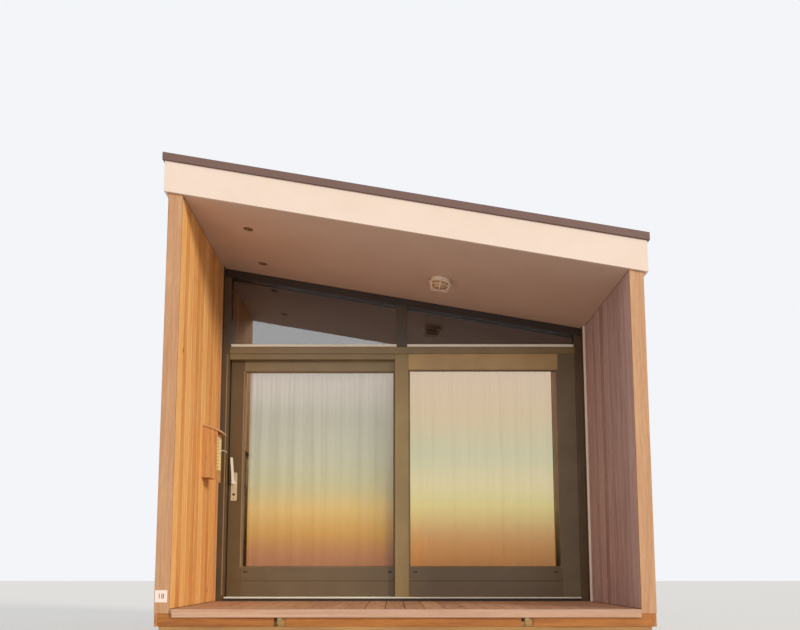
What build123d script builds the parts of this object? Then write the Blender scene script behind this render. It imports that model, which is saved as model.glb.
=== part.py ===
"""Raised timber beach hut with a covered porch, a single-slope roof and a glazed sliding front.

Millimetres, +Z up. The porch faces -Y and the roof falls towards +X. The origin lies on the ground,
under the middle of the hut.
"""
import os
from math import cos, radians, sin, tan

from build123d import *

# Body of the hut
HUT_WIDTH = 3586            # outer faces of the side walls
HUT_LENGTH = 6000           # front corner boards to rear corner boards
WALL = 108                  # side and rear walls, boards included
CORNER_BOARD = 26           # upright board that covers the end of a side wall
PORCH_DEPTH = 1700          # front corner boards to the face of the window frame
DECK_HEIGHT = 560           # ground to the top of the deck
SOFFIT_HEIGHT = 2804        # deck to soffit on the centre line
ROOF_PITCH = 9.85           # degrees

# Roof layers, measured upright
SOFFIT_THICKNESS = 18
FASCIA_HEIGHT = 244
FASCIA_THICKNESS = 22
SIDE_OVERHANG = 9           # roof slab beyond the wall face
TRIM_HEIGHT = 61
TRIM_WIDTH = 90
TRIM_OVERHANG = 16          # edge trim beyond the fascia
COVERING_THICKNESS = 50

# Floor and base
DECK_THICKNESS = 31
NOSING_HEIGHT = 58
NOSING_THICKNESS = 28
NOSING_LEFT_GAP = 26        # nosing short of the inner face of the left wall
NOSING_RIGHT_GAP = 8
NOSING_ROUND = 4
RIM_HEIGHT = 91
RIM_THICKNESS = 44
SKIRT_THICKNESS = 26
SKIRT_SETBACK = 4           # skirt face behind the wall face
RIM_BLOCK_WIDTH = 54
RIM_BLOCK_SETBACK = 6
JOIST_WIDTH = 45
JOIST_PITCH = 590
BEAM_HEIGHT = 200
BEAM_THICKNESS = 70
BEAM_SETBACK = 37           # beam face behind the wall face
POST_SIZE = 140
POST_ROWS = 4
PAD_SIZE = 210
PAD_THICKNESS = 45
PAD_CHAMFER = 9

# Window frame
FRAME_DEPTH = 150
JAMB_WIDTH = 79
HEAD_HEIGHT = 75
TRANSOM_BOTTOM = 2271       # above the deck
TRANSOM_HEIGHT = 66
TRANSOM_SILL_HEIGHT = 27
TRANSOM_SILL_OUT = 10
TRANSOM_SILL_END_GAP = 12
TRANSOM_SILL_FALL = 5       # front edge below the back
TRANSOM_POST_WIDTH = 100
TRANSOM_POST_X = -4
THRESHOLD_HEIGHT = 36
THRESHOLD_OUT = 15
THRESHOLD_FALL = 11         # front edge below the flat
TRACK_WIDTH = 10
TRACK_COVER_HEIGHT = 52
RUNNING_GAP = 0.3

# Fixed sash on the outer track and sliding leaf on the inner track
SASH_THICKNESS = 58
SASH_SETBACK = 8
LEAF_SETBACK = 76
LEAF_SIDE_GAP = 5
LEAF_LIFT = 6               # leaf above the threshold
LEAF_TOP_GAP = 21           # leaf below the transom
MEETING_STILE_WIDTH = 126
MEETING_STILE_X = -7        # middle of the meeting stile
FIXED_STILE_WIDTH = 163
LEAF_STILE_WIDTH = 126
BOTTOM_RAIL_TOP = 296       # above the deck
TOP_RAIL_REACH = 150        # transom underside to the lower edge of the top rails
RAIL_GROOVE_DROP = 119      # joint line on the bottom rails, below their top
RAIL_GROOVE = 4
GLASS_THICKNESS = 24
TRANSOM_GLASS_SETBACK = 60
BEAD_WIDTH = 14
BEAD_DEPTH = 11
BEAD_BEVEL = 5.5

# Door furniture
PLATE_WIDTH = 56
PLATE_HEIGHT = 260
PLATE_THICKNESS = 8
PLATE_CORNER = 9
PLATE_BOTTOM = 906          # above the deck
PLATE_FROM_EDGE = 50        # middle of the plate from the edge of the leaf
SPINDLE_HEIGHT = 1070       # above the deck
SPINDLE_RADIUS = 4.5
SPINDLE_CLEARANCE = 0.3
LEVER_GAP = 0.3
LEVER_ROSE_RADIUS = 15
LEVER_REACH = 48
LEVER_LENGTH = 218
LEVER_WIDTH = 22
LEVER_THICKNESS = 12
LEVER_LEAN = 5              # degrees, towards the jamb

# Curtains
CURTAIN_RAIL_EDGE = 4       # rail beyond the folds
CURTAIN_RAIL_HEIGHT = 24
CURTAIN_DEPTH = 60
CURTAIN_CLEARANCE = 10      # folds behind the inner lever
CURTAIN_FLOOR_GAP = 25
CURTAIN_HANG_GAP = 0.3
CURTAIN_LEFT_INSET = 163    # curtain edge from the left jamb
CURTAIN_RIGHT_INSET = 191   # curtain edge from the right jamb
CURTAIN_PARTING = 80        # gap between the curtains, behind the meeting stile

# Porch lamp
LAMP_X = 323
LAMP_FROM_FRONT = 972
LAMP_RADIUS = 82
LAMP_BASE_HEIGHT = 30
LAMP_BASE_BEVEL = 7
LAMP_GLASS_RADIUS = 66
LAMP_GLASS_HEIGHT = 52
LAMP_GLASS_BEVEL = (26, 14) # down the side and in from it
LAMP_CAGE_WIRE = 5
LAMP_CAGE_OUT = 18          # hoops beyond the side of the glass
LAMP_CAGE_DROP = 12         # hoops below the glass
LAMP_CAGE_RIBS = 6
LAMP_CAGE_BEND = 28         # radius where a hoop turns over the glass
LAMP_CAGE_RING_DROP = 30    # lower ring below the base
LAMP_CAGE_RING_WIRE = 4
LAMP_FLANGE_RADIUS = 97     # upper ring, which holds the hoops
LAMP_FLANGE_THICKNESS = 5
LAMP_FLANGE_CLEARANCE = 4   # round the glass

# Recessed spots
SPOT_FROM_WALL = 420
SPOT_FROM_FRONT = (510, 1360)
SPOT_RADIUS = 42
SPOT_PROUD = 5

# Box on the left porch wall
BOX_FROM_FRONT = 962
BOX_WIDTH = 187
BOX_DEPTH = 127
BOX_BOTTOM = 1041           # above the deck
BOX_BACK_HEIGHT = 435
BOX_CHIN_DROP = 32          # front of the box below its back
BOX_CHIN_START = 62         # where the underside starts to curve down
BOX_CHIN_SAG = 8            # drop at the middle of that curve
BOX_LID_OUT = 166
BOX_LID_THICKNESS = 13
BOX_LID_SIDE = 12
BOX_LID_RADIUS = 644
BOX_LID_START = 12.4        # degrees, slope of the lid at the wall

# Number plate on the left corner board
NUMBER_PLATE_WIDTH = 89
NUMBER_PLATE_HEIGHT = 87
NUMBER_PLATE_THICKNESS = 4
NUMBER_PLATE_INSET = 5      # from the outer edge of the corner board
NUMBER_PLATE_BOTTOM = 47    # above the deck

# Places worked out from the sizes
SLOPE = tan(radians(ROOF_PITCH))
half_width = HUT_WIDTH / 2
inner_x = half_width - WALL
front_y = -HUT_LENGTH / 2
rear_y = HUT_LENGTH / 2
frame_y = front_y + PORCH_DEPTH
frame_back_y = frame_y + FRAME_DEPTH
rear_wall_y = rear_y - WALL
slab_half = half_width + SIDE_OVERHANG
fascia_half = slab_half + FASCIA_THICKNESS
trim_half = fascia_half + TRIM_OVERHANG
floor_bottom = DECK_HEIGHT - DECK_THICKNESS
rim_bottom = floor_bottom - RIM_HEIGHT
beam_bottom = rim_bottom - BEAM_HEIGHT
skirt_x = half_width - SKIRT_SETBACK - SKIRT_THICKNESS
jamb_x = inner_x - JAMB_WIDTH
transom_bottom = DECK_HEIGHT + TRANSOM_BOTTOM
transom_top = transom_bottom + TRANSOM_HEIGHT
meeting_left = MEETING_STILE_X - MEETING_STILE_WIDTH / 2
meeting_right = MEETING_STILE_X + MEETING_STILE_WIDTH / 2
rail_top = DECK_HEIGHT + BOTTOM_RAIL_TOP
top_rail_bottom = transom_bottom - TOP_RAIL_REACH
groove_z = rail_top - RAIL_GROOVE_DROP


def soffit_z(x, lift=0):
    """Height of the soffit plane at x, with a layer's lift added."""
    return DECK_HEIGHT + SOFFIT_HEIGHT - SLOPE * x + lift


def save(part, label):
    """Label a finished piece and write its STEP file."""
    part.label = label
    export_step(part, f"parts/{label}.step")


def board(x_range, y_range, z_range):
    """One squared timber or panel between three pairs of planes."""
    with BuildPart() as piece:
        with BuildSketch(Plane.XY.offset(z_range[0])):
            with Locations(((x_range[0] + x_range[1]) / 2, (y_range[0] + y_range[1]) / 2)):
                Rectangle(x_range[1] - x_range[0], y_range[1] - y_range[0])
        extrude(amount=z_range[1] - z_range[0])
    return piece.part


def sloped_prism(points, y_range):
    """A piece whose X-Z outline follows the roof slope, carried along Y."""
    with BuildPart() as piece:
        with BuildSketch(Plane(origin=(0, y_range[0], 0), x_dir=(1, 0, 0), z_dir=(0, -1, 0))):
            with BuildLine():
                Polyline(*points, close=True)
            make_face()
        extrude(amount=y_range[0] - y_range[1])
    return piece.part


def sloped_layer(x_range, y_range, low, high):
    """A layer of the roof between two lifts above the soffit plane."""
    left, right = x_range
    outline = [(left, soffit_z(left, low)), (right, soffit_z(right, low)),
               (right, soffit_z(right, high)), (left, soffit_z(left, high))]
    return sloped_prism(outline, y_range)


def standing_wall(x_range, y_range, bottom, lift):
    """An upright piece whose top is cut to the roof slope."""
    left, right = x_range
    outline = [(left, bottom), (right, bottom), (right, soffit_z(right, lift)), (left, soffit_z(left, lift))]
    return sloped_prism(outline, y_range)


def mirrored_pair(x_range):
    """The same stretch of X on the left and on the right of the hut."""
    return [(-x_range[1], -x_range[0]), x_range]


def together(pieces):
    """Like pieces of one body that share a node."""
    return Compound(children=pieces)


# Base: posts on pads, a ring of beams and the rim of the floor frame
os.makedirs("parts", exist_ok=True)

beam_face = half_width - BEAM_SETBACK
post_x = beam_face - POST_SIZE / 2
post_span = HUT_LENGTH - PAD_SIZE
support_posts = []
for row in range(POST_ROWS):
    row_y = -post_span / 2 + post_span * row / (POST_ROWS - 1)
    for side in (-1, 1):
        with BuildPart() as post:
            with BuildSketch():
                with Locations((side * post_x, row_y)):
                    Rectangle(PAD_SIZE, PAD_SIZE)
            extrude(amount=PAD_THICKNESS)
            chamfer(post.faces().sort_by(Axis.Z)[-1].edges(), PAD_CHAMFER)
            with BuildSketch(Plane.XY.offset(PAD_THICKNESS)):
                with Locations((side * post_x, row_y)):
                    Rectangle(POST_SIZE, POST_SIZE)
            extrude(amount=beam_bottom - PAD_THICKNESS)
        support_posts.append(post.part)
save(together(support_posts), "support_posts")

beam_levels = (beam_bottom, rim_bottom)
end_beams = [board((-beam_face, beam_face), span, beam_levels)
             for span in ((front_y, front_y + BEAM_THICKNESS), (rear_y - BEAM_THICKNESS, rear_y))]
save(together(end_beams), "end_beams")
side_beams = [board(span, (front_y + BEAM_THICKNESS, rear_y - BEAM_THICKNESS), beam_levels)
              for span in mirrored_pair((beam_face - BEAM_THICKNESS, beam_face))]
save(together(side_beams), "side_beams")

rim_levels = (rim_bottom, floor_bottom)
rim_edges = [-skirt_x]
for block_x in (-skirt_x / 2, skirt_x / 2):
    rim_edges += [block_x - RIM_BLOCK_WIDTH / 2, block_x + RIM_BLOCK_WIDTH / 2]
rim_edges.append(skirt_x)
rim_boards = [board((rim_edges[i], rim_edges[i + 1]), (front_y, front_y + RIM_THICKNESS), rim_levels)
              for i in range(0, len(rim_edges), 2)]
rim_boards.append(board((-skirt_x, skirt_x), (rear_y - RIM_THICKNESS, rear_y), rim_levels))
save(together(rim_boards), "rim_boards")
rim_blocks = [board((rim_edges[i], rim_edges[i + 1]), (front_y + RIM_BLOCK_SETBACK, front_y + RIM_THICKNESS),
                    rim_levels) for i in range(1, len(rim_edges) - 1, 2)]
save(together(rim_blocks), "rim_blocks")
side_skirts = [board(span, (front_y, rear_y), rim_levels)
               for span in mirrored_pair((skirt_x, skirt_x + SKIRT_THICKNESS))]
save(together(side_skirts), "side_skirts")

joist_run = HUT_LENGTH - 2 * RIM_THICKNESS - JOIST_WIDTH
joist_gaps = max(2, round(joist_run / JOIST_PITCH))
joists = []
for step in range(1, joist_gaps):
    joist_y = -joist_run / 2 + joist_run * step / joist_gaps
    joist_span_y = (joist_y - JOIST_WIDTH / 2, joist_y + JOIST_WIDTH / 2)
    joists.append(board((-skirt_x, skirt_x), joist_span_y, rim_levels))
save(together(joists), "floor_joists")

# Floor: porch deck with its nosing, and the floor of the room
floor_levels = (floor_bottom, DECK_HEIGHT)
save(board((-inner_x, inner_x), (front_y, frame_y), floor_levels), "deck")
save(board((-inner_x, inner_x), (frame_y, rear_wall_y), floor_levels), "floor")
with BuildPart() as deck_nosing:
    with BuildSketch(Plane.XY.offset(DECK_HEIGHT - NOSING_HEIGHT)):
        with Locations(((NOSING_LEFT_GAP - NOSING_RIGHT_GAP) / 2, front_y - NOSING_THICKNESS / 2)):
            Rectangle(2 * inner_x - NOSING_LEFT_GAP - NOSING_RIGHT_GAP, NOSING_THICKNESS)
    extrude(amount=NOSING_HEIGHT)
    fillet(deck_nosing.edges().filter_by(Axis.X).group_by(Axis.Y)[0], NOSING_ROUND)
save(deck_nosing.part, "deck_nosing")

# Walls with their corner boards
wall_y = (front_y + CORNER_BOARD, rear_y - CORNER_BOARD)
wall_spans = mirrored_pair((inner_x, half_width))
save(standing_wall(wall_spans[0], wall_y, floor_bottom, SOFFIT_THICKNESS), "left_wall")
save(standing_wall(wall_spans[1], wall_y, floor_bottom, SOFFIT_THICKNESS), "right_wall")
save(standing_wall((-inner_x, inner_x), (rear_wall_y, rear_y), floor_bottom, 0), "rear_wall")
corner_boards = []
for end_y in (front_y, rear_y - CORNER_BOARD):
    corner_boards += [standing_wall(span, (end_y, end_y + CORNER_BOARD), floor_bottom, SOFFIT_THICKNESS)
                      for span in wall_spans]
save(together(corner_boards), "corner_boards")

# Window frame: jambs, sloped head, transom and threshold
frame_span = (frame_y, frame_back_y)
frame_jambs = [standing_wall(span, frame_span, DECK_HEIGHT, -HEAD_HEIGHT)
               for span in mirrored_pair((jamb_x, inner_x))]
save(together(frame_jambs), "frame_jambs")
save(sloped_layer((-inner_x, inner_x), frame_span, -HEAD_HEIGHT, 0), "frame_head")
save(board((-jamb_x, jamb_x), frame_span, (transom_bottom, transom_top)), "transom_rail")
post_left = TRANSOM_POST_X - TRANSOM_POST_WIDTH / 2
post_right = TRANSOM_POST_X + TRANSOM_POST_WIDTH / 2
save(standing_wall((post_left, post_right), frame_span, transom_top, -HEAD_HEIGHT), "transom_post")

transom_panes = []
transom_sills = []
glass_front = frame_y + TRANSOM_GLASS_SETBACK
sill_end = jamb_x - TRANSOM_SILL_END_GAP
for pane_span, sill_span in (((-jamb_x, post_left), (-sill_end, post_left)),
                             ((post_right, jamb_x), (post_right, sill_end))):
    transom_panes.append(standing_wall(pane_span, (glass_front, glass_front + GLASS_THICKNESS),
                                       transom_top, -HEAD_HEIGHT))
    with BuildPart() as sill:
        with BuildSketch(Plane(origin=(sill_span[0], 0, 0), x_dir=(0, 1, 0), z_dir=(1, 0, 0))):
            with BuildLine():
                Polyline((frame_y - TRANSOM_SILL_OUT, transom_top),
                         (glass_front, transom_top),
                         (glass_front, transom_top + TRANSOM_SILL_HEIGHT),
                         (frame_y - TRANSOM_SILL_OUT, transom_top + TRANSOM_SILL_HEIGHT - TRANSOM_SILL_FALL),
                         close=True)
            make_face()
        extrude(amount=sill_span[1] - sill_span[0])
    transom_sills.append(sill.part)
save(together(transom_panes), "transom_glass")
save(together(transom_sills), "transom_sill")

leaf_y = frame_y + LEAF_SETBACK
sash_y = frame_y + SASH_SETBACK
track_y = leaf_y + SASH_THICKNESS / 2
leaf_bottom = DECK_HEIGHT + THRESHOLD_HEIGHT + LEAF_LIFT
with BuildPart() as threshold:
    with BuildSketch(Plane(origin=(-jamb_x, 0, 0), x_dir=(0, 1, 0), z_dir=(1, 0, 0))):
        with BuildLine():
            Polyline((frame_y - THRESHOLD_OUT, DECK_HEIGHT),
                     (frame_back_y, DECK_HEIGHT),
                     (frame_back_y, DECK_HEIGHT + THRESHOLD_HEIGHT),
                     (track_y + TRACK_WIDTH / 2, DECK_HEIGHT + THRESHOLD_HEIGHT),
                     (track_y + TRACK_WIDTH / 2, leaf_bottom - RUNNING_GAP),
                     (track_y - TRACK_WIDTH / 2, leaf_bottom - RUNNING_GAP),
                     (track_y - TRACK_WIDTH / 2, DECK_HEIGHT + THRESHOLD_HEIGHT),
                     (frame_y, DECK_HEIGHT + THRESHOLD_HEIGHT),
                     (frame_y - THRESHOLD_OUT, DECK_HEIGHT + THRESHOLD_HEIGHT - THRESHOLD_FALL), close=True)
        make_face()
    extrude(amount=2 * jamb_x)
save(threshold.part, "threshold")
save(board((-jamb_x, meeting_left), (sash_y, sash_y + SASH_THICKNESS),
           (transom_bottom - TRACK_COVER_HEIGHT, transom_bottom)), "track_cover")


def grooved_rail(x_range, face_y, z_range):
    """A bottom rail of two boards, with the joint line between them on its outer face."""
    with BuildPart() as rail:
        with BuildSketch(Plane.XY.offset(z_range[0])):
            with Locations(((x_range[0] + x_range[1]) / 2, face_y + SASH_THICKNESS / 2)):
                Rectangle(x_range[1] - x_range[0], SASH_THICKNESS)
        extrude(amount=z_range[1] - z_range[0])
        with BuildSketch(Plane.XY.offset(groove_z - RAIL_GROOVE / 2)):
            with Locations(((x_range[0] + x_range[1]) / 2, face_y + RAIL_GROOVE / 2)):
                Rectangle(x_range[1] - x_range[0], RAIL_GROOVE)
        extrude(amount=RAIL_GROOVE, mode=Mode.SUBTRACT)
    return rail.part


def bead_ring(x_range, z_range, y_start, outward):
    """Glazing bead round a pane: a ring whose outer arris is bevelled towards the glass."""
    depth = BEAD_DEPTH if outward else -BEAD_DEPTH
    middle = ((x_range[0] + x_range[1]) / 2, (z_range[0] + z_range[1]) / 2)
    width = x_range[1] - x_range[0]
    height = z_range[1] - z_range[0]
    with BuildPart() as ring:
        with BuildSketch(Plane(origin=(0, y_start, 0), x_dir=(1, 0, 0), z_dir=(0, -1, 0))):
            with Locations(middle):
                Rectangle(width, height)
                Rectangle(width - 2 * BEAD_WIDTH, height - 2 * BEAD_WIDTH, mode=Mode.SUBTRACT)
        extrude(amount=depth)
        far_face = ring.faces().filter_by(Axis.Y).sort_by(Axis.Y)[0 if outward else -1]
        chamfer(far_face.inner_wires()[0].edges(), BEAD_BEVEL)
    return ring.part


def bead_pair(x_range, z_range, glass_y):
    """The outer and the inner bead of one pane."""
    return [bead_ring(x_range, z_range, glass_y, True),
            bead_ring(x_range, z_range, glass_y + GLASS_THICKNESS, False)]


# Fixed sash, right of the meeting stile
sash_levels = (DECK_HEIGHT + THRESHOLD_HEIGHT, transom_bottom)
sash_span = (sash_y, sash_y + SASH_THICKNESS)
fixed_stile_x = jamb_x - FIXED_STILE_WIDTH
pane_levels = (rail_top, top_rail_bottom)
sash_glass_y = sash_y + (SASH_THICKNESS - GLASS_THICKNESS) / 2
fixed_stiles = [board(span, sash_span, sash_levels)
                for span in ((meeting_left, meeting_right), (fixed_stile_x, jamb_x))]
save(together(fixed_stiles), "fixed_stiles")
fixed_rails = [grooved_rail((meeting_right, fixed_stile_x), sash_y, (sash_levels[0], rail_top)),
               board((meeting_right, fixed_stile_x), sash_span, (top_rail_bottom, sash_levels[1]))]
save(together(fixed_rails), "fixed_rails")
save(board((meeting_right, fixed_stile_x), (sash_glass_y, sash_glass_y + GLASS_THICKNESS), pane_levels),
     "fixed_glass")
save(together(bead_pair((meeting_right, fixed_stile_x), pane_levels, sash_glass_y)), "fixed_beads")

# Sliding leaf on the inner track
leaf_left = -jamb_x + LEAF_SIDE_GAP
leaf_levels = (leaf_bottom, transom_bottom - LEAF_TOP_GAP)
leaf_span = (leaf_y, leaf_y + SASH_THICKNESS)
leaf_glass_y = leaf_y + (SASH_THICKNESS - GLASS_THICKNESS) / 2
leaf_pane_x = (leaf_left + LEAF_STILE_WIDTH, meeting_left)
plate_x = leaf_left + PLATE_FROM_EDGE
spindle_z = DECK_HEIGHT + SPINDLE_HEIGHT
door_across = Plane(origin=(0, leaf_y, 0), x_dir=(1, 0, 0), z_dir=(0, -1, 0))

with BuildPart() as lock_stile:
    with BuildSketch(Plane.XY.offset(leaf_levels[0])):
        with Locations((leaf_left + LEAF_STILE_WIDTH / 2, leaf_y + SASH_THICKNESS / 2)):
            Rectangle(LEAF_STILE_WIDTH, SASH_THICKNESS)
    extrude(amount=leaf_levels[1] - leaf_levels[0])
    with BuildSketch(door_across):
        with Locations((plate_x, spindle_z)):
            Circle(SPINDLE_RADIUS + SPINDLE_CLEARANCE)
    extrude(amount=-SASH_THICKNESS, mode=Mode.SUBTRACT)
rear_stile = board((meeting_left, meeting_right), leaf_span, leaf_levels)
save(together([lock_stile.part, rear_stile]), "door_stiles")
door_rails = [grooved_rail(leaf_pane_x, leaf_y, (leaf_levels[0], rail_top)),
              board(leaf_pane_x, leaf_span, (top_rail_bottom, leaf_levels[1]))]
save(together(door_rails), "door_rails")
save(board(leaf_pane_x, (leaf_glass_y, leaf_glass_y + GLASS_THICKNESS), pane_levels), "door_glass")
save(together(bead_pair(leaf_pane_x, pane_levels, leaf_glass_y)), "door_beads")

handle_plates = []
for face_y, outward in ((leaf_y, 1), (leaf_y + SASH_THICKNESS, -1)):
    with BuildPart() as plate:
        with BuildSketch(Plane(origin=(0, face_y, 0), x_dir=(1, 0, 0), z_dir=(0, -1, 0))):
            with Locations((plate_x, DECK_HEIGHT + PLATE_BOTTOM + PLATE_HEIGHT / 2)):
                RectangleRounded(PLATE_WIDTH, PLATE_HEIGHT, PLATE_CORNER)
            with Locations((plate_x, spindle_z)):
                Circle(SPINDLE_RADIUS + SPINDLE_CLEARANCE, mode=Mode.SUBTRACT)
        extrude(amount=outward * PLATE_THICKNESS)
    handle_plates.append(plate.part)
save(together(handle_plates), "handle_plates")

with BuildPart() as lever:
    with BuildSketch(door_across.offset(PLATE_THICKNESS + LEVER_GAP)):
        with Locations((plate_x, spindle_z)):
            Circle(SPINDLE_RADIUS)
    extrude(amount=-(SASH_THICKNESS + 2 * (PLATE_THICKNESS + LEVER_GAP)))
    for start, outward in ((PLATE_THICKNESS + LEVER_GAP, 1),
                           (-SASH_THICKNESS - PLATE_THICKNESS - LEVER_GAP, -1)):
        with BuildSketch(door_across.offset(start)):
            with Locations((plate_x, spindle_z)):
                Circle(LEVER_ROSE_RADIUS)
        extrude(amount=outward * LEVER_REACH)
        with BuildSketch(door_across.offset(start + outward * LEVER_REACH)):
            with Locations(Location((plate_x, spindle_z), 90 + LEVER_LEAN)):
                with Locations((LEVER_LENGTH / 2, 0)):
                    SlotOverall(LEVER_LENGTH + 2 * LEVER_ROSE_RADIUS, LEVER_WIDTH)
        extrude(amount=-outward * LEVER_THICKNESS)
save(lever.part, "lever")

# Roof: soffit, insulated slab, fascias, covering and edge trim
save(sloped_layer((-inner_x, inner_x), (front_y, rear_y), 0, SOFFIT_THICKNESS), "soffit")
save(sloped_layer((-slab_half, slab_half), (front_y, rear_y), SOFFIT_THICKNESS, FASCIA_HEIGHT), "roof_slab")
fascia_layer = (0, FASCIA_HEIGHT)
end_fascias = [sloped_layer((-fascia_half, fascia_half), span, *fascia_layer)
               for span in ((front_y - FASCIA_THICKNESS, front_y), (rear_y, rear_y + FASCIA_THICKNESS))]
save(together(end_fascias), "end_fascias")
side_fascias = [sloped_layer(span, (front_y, rear_y), *fascia_layer)
                for span in mirrored_pair((slab_half, fascia_half))]
save(together(side_fascias), "side_fascias")

trim_front = front_y - FASCIA_THICKNESS - TRIM_OVERHANG
trim_rear = rear_y + FASCIA_THICKNESS + TRIM_OVERHANG
cover_half = trim_half - TRIM_WIDTH
cover_y = (trim_front + TRIM_WIDTH, trim_rear - TRIM_WIDTH)
save(sloped_layer((-cover_half, cover_half), cover_y, FASCIA_HEIGHT, FASCIA_HEIGHT + COVERING_THICKNESS),
     "roof_covering")
with BuildPart() as roof_edge_trim:
    add(sloped_layer((-trim_half, trim_half), (trim_front, trim_rear), FASCIA_HEIGHT,
                     FASCIA_HEIGHT + TRIM_HEIGHT))
    add(sloped_layer((-cover_half, cover_half), cover_y, FASCIA_HEIGHT, FASCIA_HEIGHT + TRIM_HEIGHT),
        mode=Mode.SUBTRACT)
save(roof_edge_trim.part, "roof_edge_trim")


def under_soffit(x, y):
    """A plane on the soffit that looks down, square to the slope."""
    angle = radians(ROOF_PITCH)
    return Plane(origin=(x, y, soffit_z(x)), x_dir=(0, 1, 0), z_dir=(-sin(angle), 0, -cos(angle)))


# Round bulkhead lamp under the soffit
lamp_plane = under_soffit(LAMP_X, front_y + LAMP_FROM_FRONT)
lamp_face = lamp_plane.offset(LAMP_BASE_HEIGHT)
cage_radius = LAMP_GLASS_RADIUS + LAMP_CAGE_OUT
cage_height = LAMP_GLASS_HEIGHT + LAMP_CAGE_DROP
ring_radius = cage_radius + LAMP_CAGE_WIRE / 2
with BuildPart() as lamp_base:
    with BuildSketch(lamp_plane):
        Circle(LAMP_RADIUS)
    extrude(amount=LAMP_BASE_HEIGHT)
    chamfer(lamp_base.faces().sort_by(Axis.Z)[0].edges(), LAMP_BASE_BEVEL)
save(lamp_base.part, "lamp_base")

with BuildPart() as lamp_glass:
    with BuildSketch(lamp_face):
        Circle(LAMP_GLASS_RADIUS)
    extrude(amount=LAMP_GLASS_HEIGHT)
    chamfer(lamp_glass.faces().sort_by(Axis.Z)[0].edges(), *LAMP_GLASS_BEVEL)
save(lamp_glass.part, "lamp_glass")


with BuildPart() as lamp_cage:
    for rib in range(LAMP_CAGE_RIBS // 2):
        turn = radians(360 * rib / LAMP_CAGE_RIBS)
        side = Plane(origin=lamp_face.origin,
                     x_dir=lamp_face.x_dir * cos(turn) + lamp_face.y_dir * sin(turn),
                     z_dir=lamp_face.y_dir * cos(turn) - lamp_face.x_dir * sin(turn))
        with BuildSketch(side):
            for grow, kind in ((LAMP_CAGE_WIRE, Mode.ADD), (0, Mode.SUBTRACT)):
                RectangleRounded(2 * (cage_radius + grow), 2 * (cage_height + grow), LAMP_CAGE_BEND + grow,
                                 mode=kind)
            with Locations((0, cage_height)):
                Rectangle(4 * cage_radius, 2 * cage_height, mode=Mode.SUBTRACT)
        extrude(amount=LAMP_CAGE_WIRE / 2, both=True)
    with BuildSketch(lamp_face.offset(LAMP_CAGE_RING_DROP)):
        Circle(ring_radius + LAMP_CAGE_RING_WIRE / 2)
        Circle(ring_radius - LAMP_CAGE_RING_WIRE / 2, mode=Mode.SUBTRACT)
    extrude(amount=LAMP_CAGE_RING_WIRE)
    with BuildSketch(lamp_face):
        Circle(LAMP_FLANGE_RADIUS)
        Circle(LAMP_GLASS_RADIUS + LAMP_FLANGE_CLEARANCE, mode=Mode.SUBTRACT)
    extrude(amount=LAMP_FLANGE_THICKNESS)
save(lamp_cage.part, "lamp_cage")

# Recessed spots, seen as a ring just proud of the soffit
ceiling_spots = []
for spot_distance in SPOT_FROM_FRONT:
    with BuildPart() as spot:
        with BuildSketch(under_soffit(SPOT_FROM_WALL - inner_x, front_y + spot_distance)):
            Circle(SPOT_RADIUS)
        extrude(amount=SPOT_PROUD)
    ceiling_spots.append(spot.part)
save(together(ceiling_spots), "ceiling_spots")

# Box with a bent lid on the left porch wall
box_y = front_y + BOX_FROM_FRONT
box_z = DECK_HEIGHT + BOX_BOTTOM
box_side = Plane(origin=(-inner_x, box_y, box_z), x_dir=(1, 0, 0), z_dir=(0, -1, 0))
lid_centre = (-BOX_LID_RADIUS * sin(radians(BOX_LID_START)),
              BOX_BACK_HEIGHT - BOX_LID_RADIUS * cos(radians(BOX_LID_START)))
with BuildPart() as wall_box:
    with BuildSketch(box_side):
        with BuildLine():
            chin = ThreePointArc((BOX_CHIN_START, 0),
                                 ((BOX_CHIN_START + BOX_DEPTH) / 2, -BOX_CHIN_SAG),
                                 (BOX_DEPTH, -BOX_CHIN_DROP))
            Polyline(chin @ 1, (BOX_DEPTH, BOX_BACK_HEIGHT), (0, BOX_BACK_HEIGHT), (0, 0), chin @ 0)
        make_face()
        with Locations(lid_centre):
            Circle(BOX_LID_RADIUS, mode=Mode.INTERSECT)
    extrude(amount=-BOX_WIDTH)
save(wall_box.part, "wall_box")

with BuildPart() as wall_box_lid:
    with BuildSketch(box_side.offset(BOX_LID_SIDE)):
        with Locations(lid_centre):
            Circle(BOX_LID_RADIUS + BOX_LID_THICKNESS)
            Circle(BOX_LID_RADIUS, mode=Mode.SUBTRACT)
        with Locations((BOX_LID_OUT / 2, BOX_BACK_HEIGHT)):
            Rectangle(BOX_LID_OUT, 2 * BOX_LID_OUT, mode=Mode.INTERSECT)
    extrude(amount=-(BOX_WIDTH + 2 * BOX_LID_SIDE))
save(wall_box_lid.part, "wall_box_lid")

# Number plate on the left corner board
plate_middle = (-half_width + NUMBER_PLATE_INSET + NUMBER_PLATE_WIDTH / 2,
                DECK_HEIGHT + NUMBER_PLATE_BOTTOM + NUMBER_PLATE_HEIGHT / 2)
with BuildPart() as number_plate:
    with BuildSketch(Plane(origin=(0, front_y, 0), x_dir=(1, 0, 0), z_dir=(0, -1, 0))):
        with Locations(plate_middle):
            Rectangle(NUMBER_PLATE_WIDTH, NUMBER_PLATE_HEIGHT)
    extrude(amount=NUMBER_PLATE_THICKNESS)
save(number_plate.part, "number_plate")

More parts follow.
